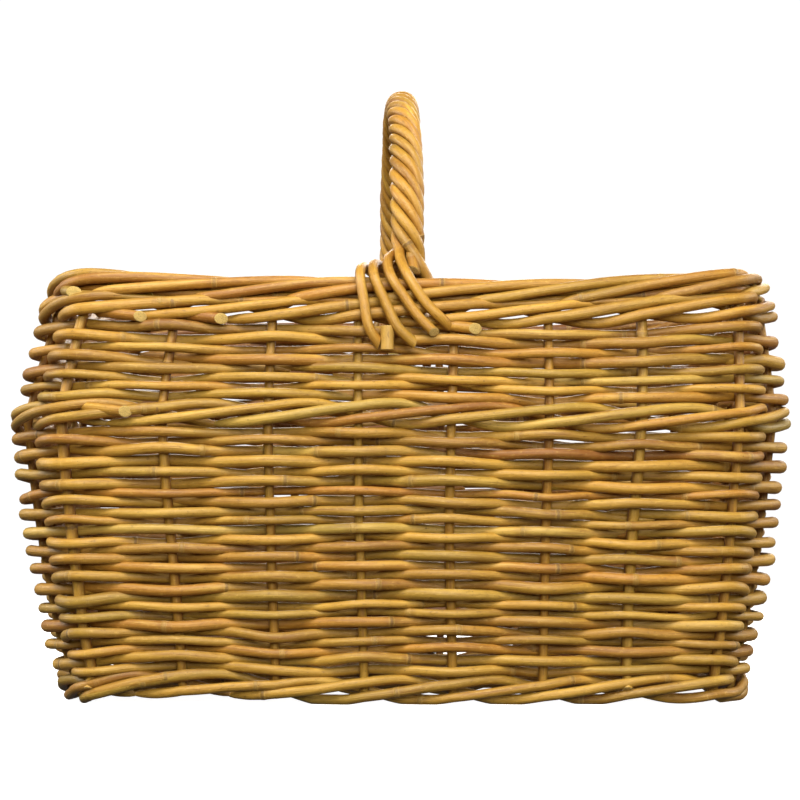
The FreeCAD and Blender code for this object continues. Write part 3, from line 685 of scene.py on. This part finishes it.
def wale(label, z, lift, thick=6.4, stubs=()):
    """Three rods twisted round each other and the stakes; stubs says where their cut ends poke out."""
    canes = Canes()
    for u, height in stubs:
        stub(canes, u, height, thick + 0.5, reach=14.5)
    for strand in range(3):
        corners = []
        for stroke in range(strand, strand + STAKES + 4, 3):
            loose = rng.normal(0, 0.6)
            for step, out, climb in WALE_STEPS:
                corners.append((stroke + step, out * WALE_OUT, climb * WALE_RISE + loose * (out > 0)))
        corners = np.array([c for c in corners if strand - 0.6 <= c[0] <= strand + STAKES + 0.6])
        turns = spline_on(corners)
        u, out, climb = turns.T
        height = z + climb + sag(u, z) + lift * corner_lift(u)
        line = wall(u, height, out + (out > 0) * (out / WALE_OUT) * WALE_LOOP * loop_out(u))
        line[:, 2] = np.maximum(line[:, 2], 3.0)
        cut = int(len(line) * rng.uniform(0.35, 0.65))
        diameter = thick + rng.uniform(-0.3, 0.35)
        cane(canes, line[: cut + 6], diameter, taper=(12, 12), slant=(0.4, 0.4))
        cane(canes, line[cut:], diameter + rng.normal(0, 0.15), taper=(12, 12), slant=(0.4, 0.4))
    finish_piece(canes, f"woven_{label}", woven_look, label)


def stub(canes, u, z, diameter, reach=12.0):
    """A rod's cut end that pokes out of the weave to the front, its pale face slanting."""
    places = np.linspace(u - 0.45, u, 14)
    share = np.linspace(0.0, 1.0, 14)
    line = wall(places, z + 4.0 * (1 - share), -3.0 + reach * np.sqrt(share))
    cane(canes, line, diameter, slant=(0.0, 0.95), nodes=[], facing=0.0)


def spline_on(rows):
    """Catmull-Rom through rows of (u, out, climb), evenly dense in u."""
    padded = np.vstack([2 * rows[0] - rows[1], rows, 2 * rows[-1] - rows[-2]])
    dense = []
    for i in range(len(rows) - 1):
        p0, p1, p2, p3 = padded[i : i + 4]
        t = np.linspace(0, 1, max(3, int((p2[0] - p1[0]) * 30)), endpoint=False)[:, None]
        piece = blend4(p0, p1, p2, p3, t)
        piece[:, 0] = p1[0] + (p2[0] - p1[0]) * t[:, 0]
        dense.append(piece)
    dense.append(rows[-1:])
    return np.vstack(dense)


# ---- stakes, border and base ----


# The basket's sides: name, first stake and number of stakes.
WALLS = (("front", 0, 8), ("right", 8, 5), ("back", 13, 8), ("left", 21, 5))
# Two of the front stakes end in front of the foot wale, in plain sight: they stand out over their last part.
PLAIN_FEET, PLAIN_FOOT_Z = (0, 6), 9.5
PLAIN_FOOT_OUT, PLAIN_FOOT_LENGTH = 7.5, 11.0
STAKE_POINTS = 90


def stakes():
    for name, first, count in WALLS:
        canes = Canes()
        for k in range(first, first + count):
            plain_foot = k in PLAIN_FEET
            foot = PLAIN_FOOT_Z if plain_foot else 3.0 + max(0.0, float(sag(float(k), FOOT_WALE_Z)))
            z = np.linspace(foot, STAKE_TOP_Z, STAKE_POINTS)
            out = PLAIN_FOOT_OUT * np.clip(1 - (z - foot) / PLAIN_FOOT_LENGTH, 0, 1) * plain_foot
            line = wall(np.full(STAKE_POINTS, float(k)), z, out)
            colour = (CANE[k % 3] * 0.6 + CANE[3] * 0.5) * rng.uniform(0.85, 1.1)
            diameter = rng.uniform(5.8, 6.3) + 0.9 * plain_foot
            cane(canes, line, diameter, up=(WAIST[k, 1], -WAIST[k, 0], 0), colour=colour)
        finish_piece(canes, f"{name}_stake_canes", stake_look, f"{name}_stakes")


# Where a border rod is on its way round the rope: stakes along, and degrees from straight out.
ROPE_TURNS = (0.0, 1.0, 2.0, 3.0, 3.75)
ROPE_ANGLES = (-95.0, 5.0, 85.0, 160.0, 235.0)
# Rods that run on inside the rope and under it: height from the rope, distance out and diameter.
TUCKED_ENDS = ((-6.0, -3.2, 7.0), (-0.5, 0.0, 4.6), (-9.5, 1.5, 4.5))
# Places and heights of cut ends that poke out of the front border.
BORDER_STUBS = ((0.67, 241.0), (1.49, 239.5), (4.22, 233.0), (-0.04, 257.5))
BORDER_STUB = 6.9


def border_rod(canes, k):
    """One stake's end: up through the top wale, then once round the rope to the right."""
    turns = np.linspace(0, ROPE_TURNS[-1], 66)
    u = k + turns
    angle = np.radians(np.interp(turns, ROPE_TURNS, ROPE_ANGLES))
    reach = ROPE_RADIUS + 0.4 * np.sin(turns * 1.7 + rng.uniform(0, 6))
    reach = reach + 3.0 * np.clip(1 - turns / 0.9, 0, 1) ** 2
    z = ROPE_Z - 1.5 + reach * np.sin(angle) * 1.1 + 5.0 * corner_lift(u) + sag(u, ROPE_Z)
    rope = wall(u, z, np.minimum(reach, 5.6) * np.cos(angle) + ROPE_LOOP * loop_out(u) * (np.cos(angle) > 0))
    start = wall(np.full(5, float(k)), np.linspace(STAKE_TOP_Z, rope[0, 2] - 5.0, 5), -1.0)
    line = spline(np.vstack([start[::2], rope[4::5], rope[-1:]]), 1.5)
    cane(canes, line, rng.uniform(6.5, 7.2), up=(0.02, 0.01, 1.0), slant=(0.0, 0.5))


def border():
    for name, first, count in WALLS:
        canes = Canes()
        for k in range(first, first + count):
            border_rod(canes, k)
        u = np.linspace(first - 0.4, first + count - 0.4, 40 * count)
        for rise, out, diameter in TUCKED_ENDS:
            z = ROPE_Z + rise + 4.6 * corner_lift(u) + sag(u, ROPE_Z) + 0.8 * np.sin(u * 2.1 + rise)
            cane(canes, wall(u, z, out + 0.6 * np.sin(u * 3.3 + out)), diameter, taper=(12.0, 12.0))
        if name == "front":
            for place, height in BORDER_STUBS:
                stub(canes, place, height, BORDER_STUB)
        finish_piece(canes, f"{name}_border_canes", border_look, f"{name}_border_rods")


BASE_Z = 12.2
BASE_HALF_X, BASE_HALF_Y, BASE_CORNER = 198.0, 112.0, 26.0
# The sticks' furthest place and half length, and how far the rows are apart in all and rise over a stick.
STICK_LAST_X, STICK_HALF = 169.0, 108.3
BASE_ROWS, BASE_ROWS_DEPTH, BASE_SWING = 34, 211.1, 5.8
# The frame's inner corner, its half thickness and half a row's.
FRAME_INSIDE, FRAME_HALF, BASE_ROW_HALF = 22.5, 3.5, 2.9


def base():
    half_x, half_y, corner = BASE_HALF_X, BASE_HALF_Y, BASE_CORNER
    loop = [(0, -half_y, BASE_Z), (80, -half_y, BASE_Z)]
    for cx, cy, start in ((1, -1, -90), (1, 1, 0), (-1, 1, 90), (-1, -1, 180)):
        for i in range(9):
            a = math.radians(start + 90 * i / 8)
            x = cx * (half_x - corner) + corner * math.cos(a)
            y = cy * (half_y - corner) + corner * math.sin(a)
            loop.append((x, y, BASE_Z))
    loop += [(-80, -half_y, BASE_Z), (-1, -half_y, BASE_Z)]
    canes = Canes()
    cane(canes, spline(loop), 7.0)
    finish_piece(canes, "base_frame_cane", base_look, "base_frame")
    sticks = [x * (1 - LONG_LEAN_X) for x in WAIST[:FRONT_COUNT, 0]]
    sticks = [max(-STICK_LAST_X, min(STICK_LAST_X, x)) for x in sticks]
    canes = Canes()
    for x in sticks:
        y = np.linspace(-STICK_HALF, STICK_HALF, 80)
        cane(canes, np.stack([np.full(80, x), y, np.full(80, BASE_Z)], axis=1), 6.0)
    finish_piece(canes, "base_stick_canes", base_look, "base_sticks")
    pieces = [Canes(), Canes()]
    for row in range(BASE_ROWS):
        y = BASE_ROWS_DEPTH * (row / (BASE_ROWS - 1) - 0.5)
        inset = max(0.0, abs(y) + BASE_ROW_HALF - (half_y - corner))
        end = half_x - FRAME_HALF - (FRAME_INSIDE - math.sqrt(FRAME_INSIDE**2 - inset**2)) - 0.5
        points = [(-end, y, BASE_Z)]
        for i, x in enumerate(sticks):
            if abs(x) < end - 10:
                points.append((x, y, BASE_Z + BASE_SWING * (1 if (i + row) % 2 == 0 else -1)))
        points.append((end, y, BASE_Z))
        line = spline(points)
        line[:, 1] += 0.5 * np.sin(line[:, 0] / 40.0 + rng.uniform(0, 6))
        cane(pieces[row % 2], line, rng.uniform(5.5, 5.9))
    finish_piece(pieces[0], "base_weave_even", base_look, "base_weavers_over_first")
    finish_piece(pieces[1], "base_weave_odd", base_look, "base_weavers_under_first")


# ---- handle ----

BOW_RADIUS, SPRING_Z, BOW_FOOT_Z, BOW_CORE = 134.0, 269.5, 205.0, 8.4
YAW = math.radians(2.1)
STRANDS, STRAND, WRAP_RADIUS, WRAP_TURNS = 6, 6.7, 7.65, 5.5
WRAP_START = math.asin(12.5 / BOW_RADIUS)
# Ways in which the wrapping rods leave the bow at a foot, as points (x, out, z).
FOOT_TAILS = (
    ((7.9, -17.5, 268.0), (8.4, -17.5, 238.0)),
    ((7.5, -5.0, 276.0), (13.0, -9.5, 266.0), (20.0, -14.0, 250.0), (24.0, -14.0, 238.0)),
    ((-5.0, -1.5, 278.5), (-0.5, 12.4, 265.5), (9.5, 13.6, 249.5), (19.5, 11.5, 239.3), (23.5, 7.5, 236.0)),
    ((-13.0, -3.0, 278.0), (-11.5, 12.4, 265.5), (-3.0, 13.8, 252.0), (5.0, 13.8, 240.4), (15.0, 12.5, 230.3)),
    ((-7.0, -21.5, 277.0), (-15.5, -15.5, 275.0), (-21.5, -3.0, 275.5), (-21.8, 11.5, 265.5),
     (-14.6, 13.8, 247.7), (-8.0, 13.8, 233.6), (1.5, 10.5, 224.6)),
    ((-2.0, -29.0, 274.0), (-19.0, -24.0, 271.5), (-27.5, -8.0, 274.5), (-30.7, 10.0, 267.5),
     (-28.3, 13.8, 249.5), (-25.6, 13.2, 233.6), (-19.5, 9.0, 223.8)),
)
PEG_X, PEG_OUT = -14.0, 11.0
PEG_TOP_Z, PEG_FOOT_Z = 234.0, 219.5
FOOT_PLACE = 3.5
# A short liner's cut end stands out of the wrap above the front foot.
LINER = ((1.6, -137.0, 287.0), (2.4, -142.5, 279.5), (3.6, -148.5, 271.5))


def yawed(points, turn=0.0):
    """Points turned about the basket's middle."""
    x, y, z = np.asarray(points, float).T
    c, s = math.cos(YAW + turn), math.sin(YAW + turn)
    return np.stack([x * c - y * s, x * s + y * c, z], axis=1)


def tail_points(tail, back):
    """A tail's points at the front foot, or turned half round for the back one."""
    points = []
    for x, out, z in tail:
        y = wall_line(FOOT_PLACE, z)[1] - out
        points.append((-x, -y, z) if back else (x, y, z))
    return points


def wrap_points(i):
    """The part of a wrapping rod that winds round the bow."""
    share = np.linspace(0.0, 1.0, 260)
    a = WRAP_START + (math.pi - 2 * WRAP_START) * share
    outwards = np.stack([np.zeros_like(a), -np.cos(a), np.sin(a)], axis=1)
    centre = np.array([0.0, 0.0, SPRING_Z]) + outwards * BOW_RADIUS
    slip = 3.0 * np.sin(share * 9.0) + 1.5 * np.sin(share * 31.0 + i * 1.3)
    angle = np.radians(360.0 / STRANDS * i + 360.0 * WRAP_TURNS * share + slip)
    radius = WRAP_RADIUS + 0.25 * np.sin(share * 40.0 + i * 2.1)
    sideways = np.array([1.0, 0.0, 0.0]) * (radius * np.cos(angle))[:, None]
    return centre + sideways + outwards * (radius * np.sin(angle))[:, None]


def off_bow(line):
    """Directions away from the bow's middle line at a line's points, or out of the wall below its spring."""
    turned = yawed([(0.0, -1.0, 0.0)])[0]
    depth = line @ turned
    rise = np.maximum(line[:, 2] - SPRING_Z, 0.0)
    away = np.stack([depth, rise], axis=1)
    away /= np.linalg.norm(away, axis=1, keepdims=True)
    nearest = away[:, :1] * BOW_RADIUS * turned + away[:, 1:] * BOW_RADIUS * np.array([0, 0, 1.0])
    nearest[:, 2] += np.where(rise > 0, SPRING_Z, line[:, 2])
    outs = line - nearest
    outs /= np.linalg.norm(outs, axis=1, keepdims=True)
    flat = np.clip((SPRING_Z + 12.0 - line[:, 2]) / 12.0, 0, 1)[:, None]
    outs = outs * (1 - flat) + flat * np.sign(depth)[:, None] * turned
    return outs / np.maximum(np.linalg.norm(outs, axis=1, keepdims=True), 1e-6)


def handle():
    canes = Canes()
    leg = np.linspace(BOW_FOOT_Z, SPRING_Z, 30)[:-1]
    a = np.linspace(0, math.pi, 120)
    bow = [(0, -BOW_RADIUS, z) for z in leg]
    bow += [(0, -BOW_RADIUS * math.cos(t), SPRING_Z + BOW_RADIUS * math.sin(t)) for t in a]
    bow += [(0, BOW_RADIUS, z) for z in reversed(leg)]
    pale = linear((0.72, 0.64, 0.34))
    cane(canes, yawed(bow), BOW_CORE, up=(1, 0, 0), colour=pale, uneven=0.6, crease=0.0)
    cane(canes, yawed(spline(LINER)), 6.8, up=(1, 0, 0), slant=(0.0, 0.7), nodes=[8.0], facing=-1.57)
    finish_piece(canes, "handle_bow_cane", handle_look, "handle_bow")
    for i in range(STRANDS):
        canes = Canes()
        last_angle = 360.0 / STRANDS * i + 360.0 * WRAP_TURNS
        back_place = round((180 - last_angle) / (360.0 / STRANDS)) % STRANDS
        front, back = tail_points(FOOT_TAILS[i], False), tail_points(FOOT_TAILS[back_place], True)
        line = yawed(spline(np.vstack([front[::-1], wrap_points(i)[2:-2:4], back]), 1.4))
        colour = (CANE[0] * 0.5 + CANE[1 + i % 2] * 0.5) * rng.uniform(0.82, 1.04)
        diameter = STRAND * rng.uniform(0.97, 1.03)
        # Painted shade: the strands' skin that faces in towards the bow and the other strands is painted
        # darker.
        cane(canes, line, diameter, up=(1, 0.05, 0.02), colour=colour, slant=(0.8, 0.8), outward=off_bow(line))
        finish_piece(canes, f"handle_strand_cane_{i + 1}", handle_look, f"handle_strand_{i + 1}")
    for name, turn in (("front_handle_peg", 0.0), ("back_handle_peg", math.pi)):
        canes = Canes()
        y = wall_line(FOOT_PLACE, 225.0)[1] - PEG_OUT
        line = yawed([(PEG_X, y, z) for z in np.linspace(PEG_TOP_Z, PEG_FOOT_Z, 9)], turn)
        colour = linear((0.75, 0.59, 0.28))
        cane(canes, line, 8.2, up=(1, 0, 0), colour=colour, uneven=0.5, nodes=[], crease=0.0)
        finish_piece(canes, name + "_cane", handle_look, name)


# ---- build ----

base()
stakes()
wale("foot_wale", FOOT_WALE_Z, 0.0)
weave_rows("lower_row", LOWER_ROWS, LOWER_Z)
wale("waist_wale", WAIST_WALE_Z, 0.0, stubs=WAIST_STUBS)
weave_rows("upper_row", UPPER_ROWS, UPPER_Z, lift=3.2)
wale("top_wale", TOP_WALE_Z + 1.0, 3.8, thick=6.8)
border()
handle()

# ---- stage ----


def plain(name, colour, glow):
    """A matt material that also glows evenly."""
    paper = bpy.data.materials.new(name)
    paper.use_nodes = True
    shader = paper.node_tree.nodes["Principled BSDF"]
    shader.inputs["Base Color"].default_value = (colour, colour, colour, 1)
    shader.inputs["Roughness"].default_value = 0.9
    shader.inputs["Specular IOR Level"].default_value = 0.0
    shader.inputs["Emission Color"].default_value = (1, 1, 1, 1)
    shader.inputs["Emission Strength"].default_value = glow
    return paper


def set_aside(thing, name, material):
    """Makes a thing scenery: seen by the camera, but casting no light or shade on the basket."""
    thing.name = name
    thing.data.materials.append(material)
    thing.visible_diffuse = False
    thing.visible_glossy = False
    thing.visible_transmission = False
    thing.visible_shadow = False


def stage():
    """A plain pale floor and room, soft studio light and the camera."""
    bpy.ops.mesh.primitive_plane_add(size=40.0, location=(0, 0, 0))
    set_aside(bpy.context.object, "floor", plain("floor_paper", 0.8, 0.97))
    bpy.ops.mesh.primitive_uv_sphere_add(segments=64, ring_count=32, radius=9.0, location=(0, 0, 0))
    set_aside(bpy.context.object, "room", plain("room_paper", 0.0, 1.05))

    world = bpy.data.worlds.new("studio")
    world.use_nodes = True
    world.node_tree.nodes["Background"].inputs[0].default_value = (1, 1, 1, 1)
    world.node_tree.nodes["Background"].inputs[1].default_value = 0.09
    bpy.context.scene.world = world

    def lamp(name, place, target, size, power):
        data = bpy.data.lights.new(name, "AREA")
        data.shape = "RECTANGLE"
        data.size, data.size_y = size
        data.energy = power
        data.color = (1.0, 0.955, 0.86)
        made = bpy.data.objects.new(name, data)
        made.location = place
        made.rotation_euler = (Vector(target) - Vector(place)).to_track_quat("-Z", "Y").to_euler()
        bpy.context.scene.collection.objects.link(made)

    lamp("key", (-0.35, -1.25, 1.6), (0, 0, 0.12), (1.6, 0.9), 50.0)
    lamp("fill", (0.35, -2.2, 0.75), (0, 0, 0.15), (1.8, 1.0), 34.0)
    lamp("back", (0.3, 1.9, 1.2), (0, 0, 0.15), (1.8, 1.0), 40.0)
    for name, x in (("left", -2.1), ("right", 2.1)):
        lamp(name, (x, 0.3, 1.0), (0, 0, 0.15), (1.4, 1.0), 30.0)

    data = bpy.data.cameras.new("camera")
    data.lens = 98.0
    data.sensor_width = 36.0
    made = bpy.data.objects.new("camera", data)
    place = Vector((0.0, -1.508, 0.092))
    target = Vector((0.0, -0.158, 0.189))
    made.location = place
    made.rotation_euler = (target - place).to_track_quat("-Z", "Y").to_euler()
    bpy.context.scene.collection.objects.link(made)
    bpy.context.scene.camera = made


stage()
bpy.context.scene.view_settings.view_transform = "Standard"
